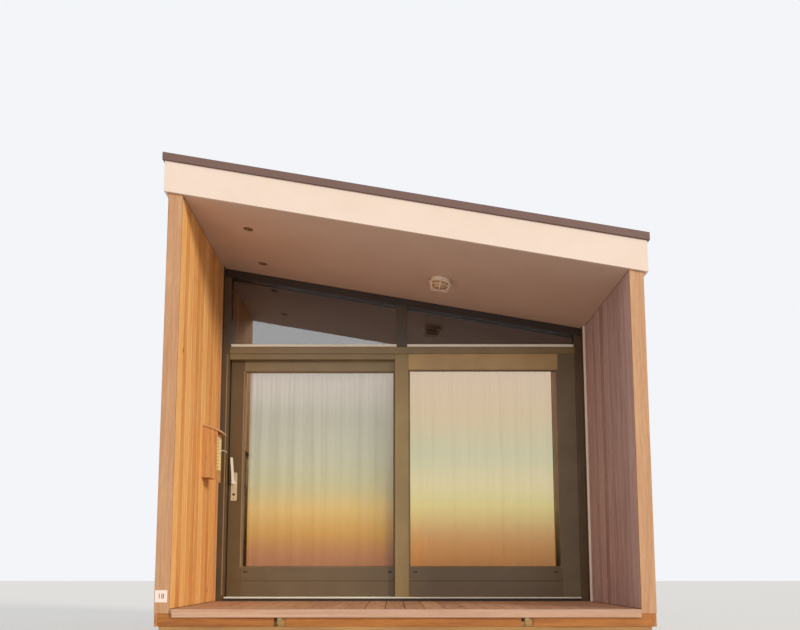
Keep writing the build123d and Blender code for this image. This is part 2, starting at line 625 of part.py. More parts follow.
# Curtains on a rail behind the window frame
lever_back_y = leaf_y + SASH_THICKNESS + PLATE_THICKNESS + LEVER_GAP + LEVER_REACH
curtain_y = (lever_back_y + CURTAIN_CLEARANCE, lever_back_y + CURTAIN_CLEARANCE + CURTAIN_DEPTH)
curtain_rail_y = (frame_back_y, curtain_y[1] + CURTAIN_RAIL_EDGE)
save(board((-jamb_x, jamb_x), curtain_rail_y, (transom_bottom, transom_bottom + CURTAIN_RAIL_HEIGHT)),
     "curtain_rail")
curtain_levels = (DECK_HEIGHT + CURTAIN_FLOOR_GAP, transom_bottom - CURTAIN_HANG_GAP)
parting = (MEETING_STILE_X - CURTAIN_PARTING / 2, MEETING_STILE_X + CURTAIN_PARTING / 2)
save(board((CURTAIN_LEFT_INSET - jamb_x, parting[0]), curtain_y, curtain_levels), "curtain_left")
save(board((parting[1], jamb_x - CURTAIN_RIGHT_INSET), curtain_y, curtain_levels), "curtain_right")
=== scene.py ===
# %% [markdown]
# A raised timber beach hut, dressed for its picture. The joinery, roof and base come ready made as the
# fixed frame. Here every surface gets its boards, arrises, glass, cloth and finish, around that frame.

# %% Load the frame
from functools import partialmethod
from math import atan, cos, pi, radians, sin, tau
from random import Random

import bmesh
import bpy
from mathutils import Matrix, Vector


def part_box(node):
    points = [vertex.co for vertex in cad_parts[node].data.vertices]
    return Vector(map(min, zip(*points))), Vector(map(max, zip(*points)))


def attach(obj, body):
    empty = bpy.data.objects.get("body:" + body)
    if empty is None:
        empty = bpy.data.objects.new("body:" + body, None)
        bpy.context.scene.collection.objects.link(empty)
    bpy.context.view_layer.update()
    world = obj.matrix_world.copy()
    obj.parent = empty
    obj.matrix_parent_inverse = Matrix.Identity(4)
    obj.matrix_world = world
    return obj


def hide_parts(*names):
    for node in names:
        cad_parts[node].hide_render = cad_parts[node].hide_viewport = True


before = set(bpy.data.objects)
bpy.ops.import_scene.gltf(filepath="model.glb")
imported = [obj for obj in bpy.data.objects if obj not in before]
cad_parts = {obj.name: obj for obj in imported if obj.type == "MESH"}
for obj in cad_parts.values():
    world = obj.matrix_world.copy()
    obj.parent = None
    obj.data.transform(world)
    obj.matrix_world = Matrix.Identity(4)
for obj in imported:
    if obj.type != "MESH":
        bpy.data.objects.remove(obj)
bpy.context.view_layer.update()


def placed(name, data):
    """A new object in the scene."""
    made = bpy.data.objects.new(name, data)
    bpy.context.scene.collection.objects.link(made)
    return made


# %% [markdown]
# The camera stands low in front of the porch, a little left of the middle. The lens is shifted up, so that
# the posts stay near upright, and a small tilt does the rest of the photograph's framing.

# %% Camera
CAMERA_PLACE = (-0.089, -9.61, 0.8385)
CAMERA_LENS = 41.1
CAMERA_TILT = 7.9           # degrees up
CAMERA_SHIFT = (0.009, 0.16)

camera_data = bpy.data.cameras.new("photo_camera")
camera_data.lens = CAMERA_LENS
camera_data.sensor_width = 36
camera_data.shift_x, camera_data.shift_y = CAMERA_SHIFT
camera = placed("photo_camera", camera_data)
camera.location = CAMERA_PLACE
camera.rotation_euler = (radians(90 + CAMERA_TILT), 0, 0)
bpy.context.scene.camera = camera

# %% [markdown]
# Every place below is worked out from the frame's own pieces: the deck, the window wall and the soffit, which
# falls to the right.

# %% Places read from the frame
soffit_lo, soffit_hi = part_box("soffit")
deck_lo, deck_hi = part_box("deck")
SOFFIT_THICKNESS = 0.018
INNER_X = soffit_hi.x
FRONT_Y = soffit_lo.y
FRAME_Y = deck_hi.y
DECK_Z = deck_hi.z
SLOPE = (soffit_hi.z - soffit_lo.z - SOFFIT_THICKNESS) / (soffit_hi.x - soffit_lo.x)


def soffit_z(x, lift=0.0):
    """Height of the soffit at x."""
    return soffit_lo.z + SLOPE * (INNER_X - x) + lift

# %% [markdown]
# Shader maths reads better as plain sums. A wire holds one output socket, and adding or multiplying wires
# adds the Math nodes. A wiring holds one node tree, and its `node` method makes every other node. A finish
# is the wiring of one material.

# %% Wires and finishes


def rgb(red, green, blue):
    """A colour written in screen values from 0 to 255, as the linear colour that shaders use."""
    linear = [((v / 255 + 0.055) / 1.055) ** 2.4 if v > 10 else v / 255 / 12.92 for v in (red, green, blue)]
    return (*linear, 1.0)


class Wire:
    """One output socket that takes part in sums."""

    def __init__(self, wiring, socket):
        self.wiring = wiring
        self.socket = socket

    def maths(self, operation, *others):
        values = dict(enumerate((self, *others)))
        return self.wiring.node("ShaderNodeMath", {"operation": operation}, values)

    __add__ = partialmethod(maths, "ADD")
    __sub__ = partialmethod(maths, "SUBTRACT")
    __mul__ = partialmethod(maths, "MULTIPLY")
    __pow__ = partialmethod(maths, "POWER")
    __lt__ = partialmethod(maths, "LESS_THAN")


class Wiring:
    """One node tree and the way to add to it."""

    def __init__(self, tree):
        self.tree = tree

    def join(self, value, socket):
        """Give a socket a value or a wire."""
        if isinstance(value, Wire):
            self.tree.links.new(value.socket, socket)
        else:
            socket.default_value = value

    def node(self, kind, settings=None, inputs=None, output=0):
        made = self.tree.nodes.new(kind)
        for name, value in (settings or {}).items():
            if name == "stops":
                while len(made.color_ramp.elements) < len(value):
                    made.color_ramp.elements.new(1.0)
                for element, (place, colour) in zip(made.color_ramp.elements, value):
                    element.position = place
                    element.color = colour
            else:
                setattr(made, name, value)
        for name, value in (inputs or {}).items():
            self.join(value, made.inputs[name])
        return Wire(self, made.outputs[output])


class Finish(Wiring):
    """One material, with its Principled shader and the ways to wire it."""

    def __init__(self, name, **constants):
        self.material = bpy.data.materials.new(name)
        self.material.use_nodes = True
        super().__init__(self.material.node_tree)
        self.shader = self.tree.nodes["Principled BSDF"]
        self.set(**constants)

    def set(self, **values):
        """Give shader sockets, named with _ for a space, a value or a wire."""
        for name, value in values.items():
            self.join(value, self.shader.inputs[name.replace("_", " ")])

    def place(self):
        return self.node("ShaderNodeTexCoord", output=3)

    def part_of(self, vector, axis):
        return self.node("ShaderNodeSeparateXYZ", inputs={0: vector}, output="XYZ".index(axis))

    def rise(self, low, high):
        """Height as a share of the way from low to high."""
        return (self.part_of(self.place(), "Z") - low) * (1.0 / (high - low))

    def stretched(self, vector, scale):
        return self.node("ShaderNodeMapping", inputs={"Vector": vector, "Scale": scale})

    def noise(self, vector, scale, detail=2.0, rough=0.5, warp=0.0):
        return self.node("ShaderNodeTexNoise", inputs={
            "Vector": vector, "Scale": scale, "Detail": detail, "Roughness": rough, "Distortion": warp})

    def step(self, value, start, end, low=0.0, high=1.0):
        """A smooth step from low, at start, to high, at end."""
        return self.node("ShaderNodeMapRange", {"interpolation_type": "SMOOTHSTEP"}, {
            0: value, 1: start, 2: end, 3: low, 4: high})

    def mix(self, share, first, second):
        return self.node("ShaderNodeMix", {"data_type": "RGBA", "clamp_factor": True},
                         {0: share, 6: first, 7: second}, output=2)

    def ramp(self, value, *stops):
        return self.node("ShaderNodeValToRGB", {"stops": stops}, {0: value})

    def bump(self, height, strength, distance):
        self.set(Normal=self.node("ShaderNodeBump", inputs={
            "Height": height, "Strength": strength, "Distance": distance}))


# %% [markdown]
# Wood is drawn once, as a recipe. A slow noise, stretched along the board, stands for the tree, and its
# contour lines are the growth rings. A quick noise gives the fibre, and a Voronoi pattern the knots, which
# also push the rings aside. Each board carries a random number, so no two boards share their grain.

# %% Wood recipe
ALONG = {"X": (0.055, 1.0, 1.0), "Y": (1.0, 0.055, 1.0), "Z": (1.0, 1.0, 0.055)}
KNOT_ALONG = {"X": (0.42, 1.0, 1.0), "Y": (1.0, 0.42, 1.0), "Z": (1.0, 1.0, 0.42)}


def wood(name, along, pale, dark, knot=None, knots=0.0, lines=1.0, spread=0.5, weather=None):
    """A timber with its grain along one axis. Knots is the share of the pattern's cells that hold one."""
    finish = Finish(name, Specular_IOR_Level=0.3)
    board = finish.node("ShaderNodeAttribute", {"attribute_name": "board"}, output=2)
    away = finish.node("ShaderNodeCombineXYZ", inputs={0: board * 17.0, 1: board * 29.0, 2: board * 41.0})
    place = finish.node("ShaderNodeVectorMath", {"operation": "ADD"}, {0: finish.place(), 1: away})
    trunk = finish.stretched(place, ALONG[along])
    rings = finish.noise(trunk, 5.0, detail=1.5, warp=0.25)
    if knot:
        cells = {"Vector": finish.stretched(place, KNOT_ALONG[along]), "Scale": 4.6, "Randomness": 1.0}
        distance = finish.node("ShaderNodeTexVoronoi", inputs=cells)
        chance = finish.part_of(finish.node("ShaderNodeTexVoronoi", inputs=cells, output=1), "X")
        there = chance < knots
        pushed = finish.step(distance, 0.0, 0.2, 1.0, 0.0) * there
        rings = rings + pushed * 0.09
    contour = (rings * 95.0).maths("SINE") * 0.5 + 0.5
    fibre = finish.noise(trunk, 230.0, detail=2.0, rough=0.6)
    streak = finish.noise(finish.stretched(trunk, (0.6, 0.6, 0.6)), 46.0, detail=3.0, rough=0.6)
    tone = contour * (0.24 * lines) + (fibre - 0.5) * 1.0 + streak * 1.0 + (board - 0.5) * spread - 0.14
    colour = finish.ramp(tone, (0.0, pale), (1.0, dark))
    if weather:
        worn = finish.step(finish.noise(trunk, 9.0, detail=4.0, rough=0.65), 0.35, 0.7) * 0.5
        colour = finish.mix(worn, colour, weather)
    if knot:
        core = finish.step(distance, 0.03, 0.055, 1.0, 0.0) * there
        rim = finish.step(distance, 0.05, 0.11, 0.55, 0.0) * there
        colour = finish.mix(rim, colour, dark)
        colour = finish.mix(core, colour, knot)
    finish.set(Base_Color=colour, Roughness=fibre * 0.2 + 0.5)
    finish.bump(contour * (0.35 * lines) + fibre, 0.5, 0.0006)
    return finish.material


larch_knot, rim_knot, pine_knot = rgb(96, 52, 26), rgb(80, 44, 24), rgb(86, 58, 36)
cladding_side = wood("larch_cladding", "Z", rgb(251, 196, 122), rgb(211, 136, 69), larch_knot, 0.22,
                     spread=0.6)
# A greyer, mauve copy of the larch: painted shade for the right wall's inner boards.
shaded_larch = wood("shaded_larch_cladding_painted_shade", "Z", rgb(205, 175, 170), rgb(155, 120, 114), larch_knot, 0.26)
corner_larch = wood("larch_corner_boards", "Z", rgb(203, 160, 121), rgb(171, 122, 85), larch_knot, 0.1,
                    lines=0.7, spread=0.3)
deck_wood = wood("deck_boards_wood", "Y", rgb(229, 180, 140), rgb(170, 120, 87), rgb(88, 54, 36), 0.12,
                 spread=0.4, weather=rgb(200, 162, 140))
nosing_wood = wood("deck_nosing_wood", "X", rgb(207, 166, 132), rgb(168, 122, 90), rgb(96, 60, 40), 0.1,
                   spread=0.2, weather=rgb(190, 156, 140))
rim_wood = wood("rim_board_wood", "X", rgb(187, 120, 57), rgb(134, 78, 33), rim_knot, 0.12)
skirt_wood = wood("side_skirt_wood", "Y", rgb(200, 134, 80), rgb(146, 90, 48), rim_knot, 0.12)
pine_x = wood("treated_pine_across", "X", rgb(186, 141, 88), rgb(135, 97, 54), pine_knot, 0.2)
pine_y = wood("treated_pine_lengthwise", "Y", rgb(192, 150, 96), rgb(140, 104, 60), pine_knot, 0.2)
floor_wood = wood("room_floor_wood", "Y", rgb(196, 160, 118), rgb(150, 112, 74), rgb(90, 60, 40), 0.1)
lining_wood = wood("room_lining_wood", "Z", rgb(214, 182, 138), rgb(182, 146, 100), rgb(110, 76, 48), 0.1)
cedar = wood("box_cedar", "Z", rgb(214, 160, 95), rgb(161, 102, 56), lines=1.3, spread=0.2)

# %% [markdown]
# The posts stand on concrete pads. Both are one piece of the frame, so one finish changes from pine to
# concrete at the top of the pad.

# %% Post and pad finish
PAD_TOP = 0.045


def post_and_pad():
    finish = Finish("treated_pine_posts", Specular_IOR_Level=0.25, Roughness=0.75)
    place = finish.place()
    fibre = finish.noise(finish.stretched(place, ALONG["Z"]), 120.0, detail=3.0)
    broad = finish.noise(finish.stretched(place, ALONG["Z"]), 6.0)
    pine = finish.ramp(fibre * 0.5 + broad * 0.5, (0.3, rgb(204, 160, 104)), (0.75, rgb(146, 108, 62)))
    speckle = finish.noise(place, 140.0, detail=4.0, rough=0.7)
    concrete = finish.ramp(speckle, (0.3, rgb(150, 146, 138)), (0.7, rgb(188, 184, 176)))
    pad = finish.part_of(place, "Z") < PAD_TOP
    finish.set(Base_Color=finish.mix(pad, pine, concrete))
    finish.bump(fibre + speckle, 0.4, 0.0012)
    return finish.material


post_pine = post_and_pad()

# %% [markdown]
# Painted joinery is timber under a satin coat. It is never quite even: there is dust and wear, and the
# brush leaves fine lines.

# %% Paint recipe


def paint(name, colour, worn, roughness=0.38, brush="Z", patch=3.0, coat=0.15):
    """A satin paint with faint brush lines along one axis and a second colour where it is worn or dusty."""
    finish = Finish(name, Specular_IOR_Level=0.45, Coat_Roughness=0.25, Coat_Weight=coat)
    place = finish.place()
    lines = finish.noise(finish.stretched(place, ALONG[brush]), 180.0, detail=2.0)
    dust = finish.step(finish.noise(place, patch, detail=5.0, rough=0.6), 0.35, 0.75)
    share = dust * 0.4 + lines * 0.4
    finish.set(Base_Color=finish.mix(share, colour, worn), Roughness=share * 0.16 + (roughness - 0.06))
    finish.bump(lines, 0.25, 0.0004)
    return finish.material


# Apart from frame_upright, these joinery paints are lighter and darker copies of one frame paint: painted
# light on the level pieces, the high rails and the meeting stile, painted shade on the head, the transom
# post, the jambs, the leaf's stiles and the low rails.
frame_upright = paint("frame_paint_upright", rgb(104, 84, 54), rgb(130, 108, 74))
frame_level_painted_light = paint("frame_paint_level_painted_light", rgb(123, 103, 67), rgb(151, 132, 92), brush="X")
meeting_paint_painted_light = paint("meeting_stile_paint_painted_light", rgb(134, 111, 64), rgb(163, 141, 87))
stile_paint = paint("right_stile_paint", rgb(101, 87, 64), rgb(127, 112, 86))
fixed_level_painted_light = paint("fixed_rail_paint_painted_light", rgb(168, 138, 88), rgb(203, 173, 117), brush="X")
leaf_paint_painted_shade = paint("leaf_paint_upright_painted_shade", rgb(89, 66, 35), rgb(110, 87, 50))
jamb_paint_painted_shade = paint("jamb_paint_upright_painted_shade", rgb(80, 58, 33), rgb(103, 79, 46))
leaf_level_painted_shade = paint("leaf_paint_level_painted_shade", rgb(90, 72, 45), rgb(115, 94, 61), brush="X")
post_paint_painted_shade = paint("transom_post_paint_painted_shade", rgb(66, 55, 42), rgb(83, 70, 55))
head_paint_painted_shade = paint("head_paint_painted_shade", rgb(44, 34, 28), rgb(62, 50, 42), brush="X")
soffit_paint = paint("soffit_paint", rgb(204, 175, 157), rgb(214, 187, 171), 0.6, brush="Y", coat=0.0)
fascia_paint = paint("fascia_paint", rgb(226, 206, 190), rgb(218, 195, 177), 0.42, brush="X", coat=0.1)
box_lid_paint = paint("box_lid_finish", rgb(206, 158, 112), rgb(184, 134, 90), 0.5, brush="X", patch=9)
dark_line = paint("shadow_line", rgb(44, 34, 24), rgb(56, 44, 32), 0.7, coat=0.0)

# %% [markdown]
# Metal, membrane and enamel are simple finishes, each with its own scale of unevenness: brushed lines and
# smears on metal, fine grit on sheets.

# %% Metal and sheet finishes


def metal(name, colour, roughness, brush="Z", patch=14.0, metallic=1.0):
    """A metal with brushed lines along one axis and soft smears."""
    finish = Finish(name, Metallic=metallic)
    place = finish.place()
    lines = finish.noise(finish.stretched(place, ALONG[brush]), 900.0, detail=2.0)
    smear = finish.noise(place, patch, detail=3.0)
    deeper = tuple(value * 0.82 for value in colour[:3]) + (1.0,)
    finish.set(Base_Color=finish.mix(lines * 0.5 + smear * 0.5, colour, deeper),
               Roughness=smear * 0.2 + (roughness - 0.1))
    finish.bump(lines, 0.12, 0.0002)
    return finish.material


satin_steel = metal("satin_steel", rgb(222, 204, 166), 0.4, metallic=0.5)
lever_steel = metal("lever_steel", rgb(255, 250, 236), 0.35, metallic=0.25)
dark_steel = metal("dark_screws", rgb(96, 84, 72), 0.5, patch=60.0)
zinc = metal("zinc_bracket", rgb(176, 160, 120), 0.5, patch=60.0)
sill_metal = metal("sill_aluminium", rgb(255, 252, 236), 0.4, brush="X", metallic=0.0)
rail_metal = metal("curtain_rail_aluminium", rgb(200, 198, 192), 0.4, brush="X")
spacer_metal = metal("glass_spacer", rgb(96, 70, 42), 0.45, brush="X", metallic=0.2)
edge_metal = metal("roof_edge_coating", rgb(112, 84, 74), 0.55, brush="X", patch=5.0, metallic=0.1)
spot_metal = metal("spot_rim_enamel", rgb(126, 92, 62), 0.4, patch=40.0, metallic=0.1)
spot_lens = metal("spot_lens", rgb(150, 128, 106), 0.25, patch=60.0, metallic=0.2)
lamp_enamel = metal("lamp_enamel", rgb(255, 236, 214), 0.4, patch=40.0, metallic=0.0)


def grit(name, colour, second, scale, height, roughness=0.85):
    """A sheet with a fine grit on it."""
    finish = Finish(name, Specular_IOR_Level=0.3)
    place = finish.place()
    grains = finish.noise(place, scale, detail=3.0, rough=0.7)
    patches = finish.noise(place, 1.6, detail=4.0)
    finish.set(Base_Color=finish.mix(grains * 0.6 + patches * 0.4, colour, second), Roughness=roughness)
    finish.bump(grains, 0.5, height)
    return finish.material


roof_membrane = grit("roof_membrane", rgb(62, 58, 56), rgb(92, 86, 82), 260.0, 0.001)
roof_panel = grit("roof_panel", rgb(150, 128, 100), rgb(176, 152, 120), 40.0, 0.001)
wall_membrane = grit("wall_membrane", rgb(34, 28, 24), rgb(46, 38, 32), 40.0, 0.0005)
enamel = grit("plate_enamel", rgb(243, 221, 207), rgb(229, 205, 190), 30.0, 0.0001, roughness=0.3)
box_plate = metal("box_plate", rgb(255, 226, 150), 0.45, patch=30.0, metallic=0.0)
digit_black = grit("plate_digits", rgb(70, 62, 56), rgb(90, 80, 72), 60.0, 0.0001, roughness=0.5)

# %% [markdown]
# The big panes mirror what stands in front of the hut, so the outer sheet is mostly see-through and mirrors a
# share of the light, a share that grows with height. In the right pane the mirror's tint is a painted
# reflection of the evening sky. The other faces carry a painted reflection of the evening sky: its colour
# runs from amber low down, through straw, to a grey green higher up, and it is denser low down.

# %% Glass


def mirror_pane(name, heights, shares, reach, *tints):
    """Glass that mirrors a share of the light.

    The share changes with height, up to a reach of it, and grows at a glancing angle.
    """
    finish = Finish(name)
    clear = finish.node("ShaderNodeBsdfTransparent")
    height = finish.rise(*heights)
    # The mirror's tint is a painted reflection of the evening sky.
    tint = finish.ramp(height, *tints)
    mirror = finish.node("ShaderNodeBsdfGlossy", inputs={"Color": tint, "Roughness": 0.0})
    facing = finish.node("ShaderNodeLayerWeight", inputs={"Blend": 0.5}, output=1)
    square_on = finish.step(height, 0.0, reach, *shares)
    share = facing ** 5.0 * 0.85 + square_on
    both = finish.node("ShaderNodeMixShader", inputs={0: share, 1: clear, 2: mirror})
    finish.join(both, finish.tree.nodes["Material Output"].inputs["Surface"])
    return finish.material


def sky_painted_pane(name, heights, alphas, *stops):
    """Glass under a painted reflection of the evening sky, whose colour changes with height and which is
    denser low down.
    """
    finish = Finish(name, Roughness=0.04, IOR=1.6, Specular_IOR_Level=0.2)
    height = finish.rise(*heights)
    finish.set(Base_Color=finish.ramp(height, *stops), Alpha=finish.step(height, 0.1, 0.6, *alphas))
    return finish.material


pane_lo, pane_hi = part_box("door_glass")
PANE_HEIGHTS = (pane_lo.z, pane_hi.z)
HIGH_PANE_HEIGHTS = (pane_hi.z, pane_hi.z + 0.5)
BRONZE = rgb(255, 242, 217)
WHITE = rgb(255, 255, 255)
left_outer_pane = mirror_pane(
    "left_outer_pane", PANE_HEIGHTS, (0.02, 0.2), 1.0, (0.0, BRONZE), (1.0, BRONZE))
right_outer_pane = mirror_pane(
    "right_outer_pane", PANE_HEIGHTS, (0.04, 0.36), 0.47,
    (0.0, rgb(255, 249, 177)), (0.30, rgb(255, 253, 187)), (0.42, rgb(255, 241, 197)),
    (0.57, rgb(245, 240, 201)), (0.77, rgb(255, 236, 196)), (1.0, rgb(255, 237, 209)))
high_outer_pane = mirror_pane(
    "high_outer_pane", HIGH_PANE_HEIGHTS, (0.12, 0.12), 1.0, (0.0, WHITE), (1.0, WHITE))
# Painted reflections of the evening sky, one colour ramp for each big pane.
left_painted_sky = sky_painted_pane(
    "left_pane_coating", PANE_HEIGHTS, (0.4, 0.22),
    (0.0, rgb(189, 124, 70)), (0.07, rgb(203, 137, 75)), (0.175, rgb(228, 178, 54)),
    (0.30, rgb(243, 215, 115)), (0.42, rgb(211, 215, 155)), (0.57, rgb(185, 204, 175)),
    (0.77, rgb(143, 168, 162)), (1.0, rgb(232, 237, 255)))
right_painted_sky = sky_painted_pane(
    "right_pane_coating", PANE_HEIGHTS, (0.4, 0.18),
    (0.0, rgb(237, 147, 45)), (0.07, rgb(250, 162, 50)), (0.175, rgb(255, 165, 60)),
    (0.30, rgb(255, 215, 90)), (0.42, rgb(230, 220, 120)), (0.57, rgb(120, 165, 110)),
    (0.77, rgb(179, 130, 90)), (1.0, rgb(230, 140, 130)))


def smudged(name, scale, colour, second, grain=0.0, **constants):
    """Glass whose colour wanders between two."""
    finish = Finish(name, **constants)
    smudge = finish.noise(finish.place(), scale, detail=3.0)
    finish.set(Base_Color=finish.mix(smudge, colour, second))
    if grain:
        finish.bump(smudge, 0.2, grain)
    return finish.material


plain_pane = smudged("inner_pane", 3.0, rgb(60, 56, 50), rgb(80, 74, 66), Roughness=0.02,
                     Alpha=0.03, Specular_IOR_Level=0.1)
# The high panes' inner sheet is near black and near opaque: painted shade for the dark room behind.
transom_pane = smudged("transom_pane", 3.0, rgb(10, 18, 22), rgb(16, 24, 28), Roughness=0.02,
                       Alpha=0.93, Specular_IOR_Level=0.1)
lamp_lens = smudged("lamp_lens_glass", 60.0, rgb(214, 172, 126), rgb(163, 127, 88), 0.0005, Roughness=0.2,
                    Specular_IOR_Level=0.6)

# %% [markdown]
# Pieces are made in bmesh. `keep` turns a bmesh into an object at the origin that rides on its body, gives it
# its materials and hides the node of the frame it stands for. Each separate solid in a piece gets its own
# random board number there.

# %% Piece helpers
SHARP_ANGLE = radians(20)
SHORTEST = 0.012            # shorter edges keep their arris
WELD = 1e-5                 # vertices nearer than this are one
made_pieces = []


def number_boards(bm, seed):
    """Give every separate solid in the mesh one random number, which the wood recipe reads."""
    layer = bm.verts.layers.float.new("board")
    chance = Random(seed)
    seen = set()
    for start in bm.verts:
        heap = [] if start in seen else [start]
        number = chance.random() if heap else None
        while heap:
            vert = heap.pop()
            vert[layer] = number
            seen.add(vert)
            nearby = (edge.other_vert(vert) for edge in vert.link_edges)
            heap.extend(other for other in nearby if other not in seen)


def keep(bm, name, material, body="hut", stands_for=(), smooth=False):
    """Finish a bmesh as a named piece on its body."""
    number_boards(bm, name)
    for face in bm.faces:
        face.smooth = smooth
    mesh = bpy.data.meshes.new(name)
    bm.to_mesh(mesh)
    bm.free()
    for each in material if isinstance(material, (list, tuple)) else [material]:
        mesh.materials.append(each)
    piece = placed(name, mesh)
    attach(piece, body)
    if stands_for:
        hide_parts(*stands_for)
    made_pieces.append(piece)
    return piece


def block(bm, x_range, y_range, z_range, lift=None):
    """Add a squared block. With a lift, its top is cut to the slope of the soffit, that far above it."""
    for vert in bmesh.ops.create_cube(bm, size=1.0)["verts"]:
        top = vert.co.z > 0
        vert.co = [span[0] + (span[1] - span[0]) * (share + 0.5)
                   for span, share in zip((x_range, y_range, z_range), vert.co)]
        if top and lift is not None:
            vert.co.z = soffit_z(vert.co.x, lift)


def ease(bm, edges, width, segments=2):
    """Take the arris off these edges."""
    bmesh.ops.bevel(bm, geom=edges, offset=width, offset_type="OFFSET", segments=segments, profile=0.5,
                    affect="EDGES", material=-1, clamp_overlap=True)


def sharp_edges(bm, shortest=SHORTEST):
    """Edges between two faces that meet at a clear angle, without the short ones round a bore."""
    return [edge for edge in bm.edges if len(edge.link_faces) == 2
            and edge.calc_face_angle() > SHARP_ANGLE and edge.calc_length() > shortest]


def squared(name, blocks, arris, material, body="hut", stands_for=(), lift=None, shortest=SHORTEST):
    """One piece of squared blocks, each given by its three ranges, with their arrises off."""
    bm = bmesh.new()
    for ranges in blocks:
        block(bm, *ranges, lift)
    ease(bm, sharp_edges(bm, shortest), arris)
    keep(bm, name, material, body, stands_for)


def extruded(bm, faces, move):
    """Give flat faces a thickness, by a vector."""
    grown = bmesh.ops.extrude_face_region(bm, geom=faces)
    verts = [item for item in grown["geom"] if isinstance(item, bmesh.types.BMVert)]
    bmesh.ops.translate(bm, verts=verts, vec=move)
    bmesh.ops.recalc_face_normals(bm, faces=bm.faces)


def eased(node, material, width=0.002, body="hut", segments=2):
    """A node's own shape with its arrises taken off, in its place."""
    bm = bmesh.new()
    bm.from_mesh(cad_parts[node].data)
    bmesh.ops.remove_doubles(bm, verts=bm.verts, dist=WELD)
    bmesh.ops.dissolve_limit(bm, angle_limit=radians(1), verts=bm.verts, edges=bm.edges)
    ease(bm, sharp_edges(bm), width, segments)
    return keep(bm, node + "_eased", material, body, stands_for=[node])


def second_finish(piece, material, test):
    """Give the faces of a piece that pass a test another finish."""
    piece.data.materials.append(material)
    for face in piece.data.polygons:
        face.material_index = int(test(face))


def refinish(node, material):
    """Give a node that keeps its own mesh a better material."""
    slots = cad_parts[node].data.materials
    slots.clear()
    slots.append(material)


FORWARD = Matrix.Rotation(pi / 2, 4, "X")
SCREW_PROFILE = ((0.0, 0.0022), (0.0022, 0.0020), (0.0040, 0.0010), (0.0045, 0.0))


def turned(bm, profile, centre, turn, steps=32):
    """Spin a profile of (radius, height) points about an axis through the centre. Turn aims the axis."""
    place = Matrix.Translation(centre) @ turn
    rings = []
    for radius, height in profile:
        count = 1 if radius == 0 else steps
        points = [Vector((radius * cos(tau * i / steps), radius * sin(tau * i / steps), height))
                  for i in range(count)]
        rings.append([bm.verts.new(place @ point) for point in points])
    made = []
    for inner, outer in zip(rings, rings[1:]):
        for i in range(steps):
            corners = [inner[i % len(inner)], outer[i % len(outer)], outer[(i + 1) % len(outer)],
                       inner[(i + 1) % len(inner)]]
            made.append(bm.faces.new(list(dict.fromkeys(corners))))
    return made


# %% [markdown]
# The walls are clad in upright tongued boards, so each wall is a dark membrane with boards on both faces.
# A board is a squared block with its arrises off, and two boards side by side make the fine V joint.

# %% Cladding
BOARD_COVER = 0.145
BOARD_THICKNESS = 0.020
BOARD_JOINT = 0.003
BOARD_ARRIS = 0.0055
CORE_CLEARANCE = 0.0005


def spans(start, end, cover):
    """Whole boards between two ends, each a little narrower than its share of the run."""
    count = round((end - start) / cover)
    pitch = (end - start) / count
    return [(start + pitch * i + BOARD_JOINT / 2, start + pitch * (i + 1) - BOARD_JOINT / 2)
            for i in range(count)]


def side_boards(name, node, material, outside):
    """The boards on one face of a side wall."""
    lo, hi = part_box(node)
    left = (hi.x < 0) == outside
    x_range = (lo.x, lo.x + BOARD_THICKNESS) if left else (hi.x - BOARD_THICKNESS, hi.x)
    bottom, lift, stands_for = (lo.z, SOFFIT_THICKNESS, [node]) if outside else (DECK_Z, 0.0, ())
    boards = [(x_range, y_range, (bottom, hi.z)) for y_range in spans(lo.y, hi.y, BOARD_COVER)]
    squared(name, boards, BOARD_ARRIS, material, stands_for=stands_for, lift=lift)


def wall_core(name, node):
    """The dark membrane and studs behind the boards."""
    lo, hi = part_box(node)
    inset = BOARD_THICKNESS + CORE_CLEARANCE
    across, along = (0.0, inset) if node == "rear_wall" else (inset, 0.0)
    bm = bmesh.new()
    block(bm, (lo.x + across, hi.x - across), (lo.y + along, hi.y - along), (lo.z, hi.z), 0.0)
    keep(bm, name, wall_membrane)


# The right wall's inner boards get the shaded copy of the larch, painted shade.
for side, inner_finish in (("left", cladding_side), ("right", shaded_larch)):
    side_boards(f"{side}_outer_boards", f"{side}_wall", cladding_side, True)
    side_boards(f"{side}_inner_boards", f"{side}_wall", inner_finish, False)
    wall_core(f"{side}_wall_core", f"{side}_wall")


rear_lo, rear_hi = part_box("rear_wall")


def rear_boards(name, near, bottom, material, stands_for=()):
    """Boards across one face of the rear wall, each cut to the slope."""
    boards = [(x_range, (near, near + BOARD_THICKNESS), (bottom, rear_hi.z))
              for x_range in spans(rear_lo.x, rear_hi.x, BOARD_COVER)]
    squared(name, boards, BOARD_ARRIS, material, stands_for=stands_for, lift=0.0)


rear_boards("rear_outer_boards", rear_hi.y - BOARD_THICKNESS, rear_lo.z, cladding_side, ["rear_wall"])
rear_boards("rear_lining_boards", rear_lo.y, DECK_Z, lining_wood)
wall_core("rear_wall_core", "rear_wall")
eased("corner_boards", corner_larch, 0.003)

# %% [markdown]
# The porch deck is laid front to back. The gaps show as dark lines at the front edge, so the boards are
# real, with a gap of 6 mm, and the joists show below. Two screws hold each board in each of three rows.

# %% Deck boards
DECK_PITCH = 0.1475
DECK_GAP = 0.006
DECK_ARRIS = 0.003
SCREW_RADIUS = 0.0042
SCREW_ROWS = (0.022, 0.63, 1.22)    # from the front edge
SCREW_FROM_EDGE = 0.022
SCREW_SUNK, SCREW_HEIGHT = 0.0004, 0.0008


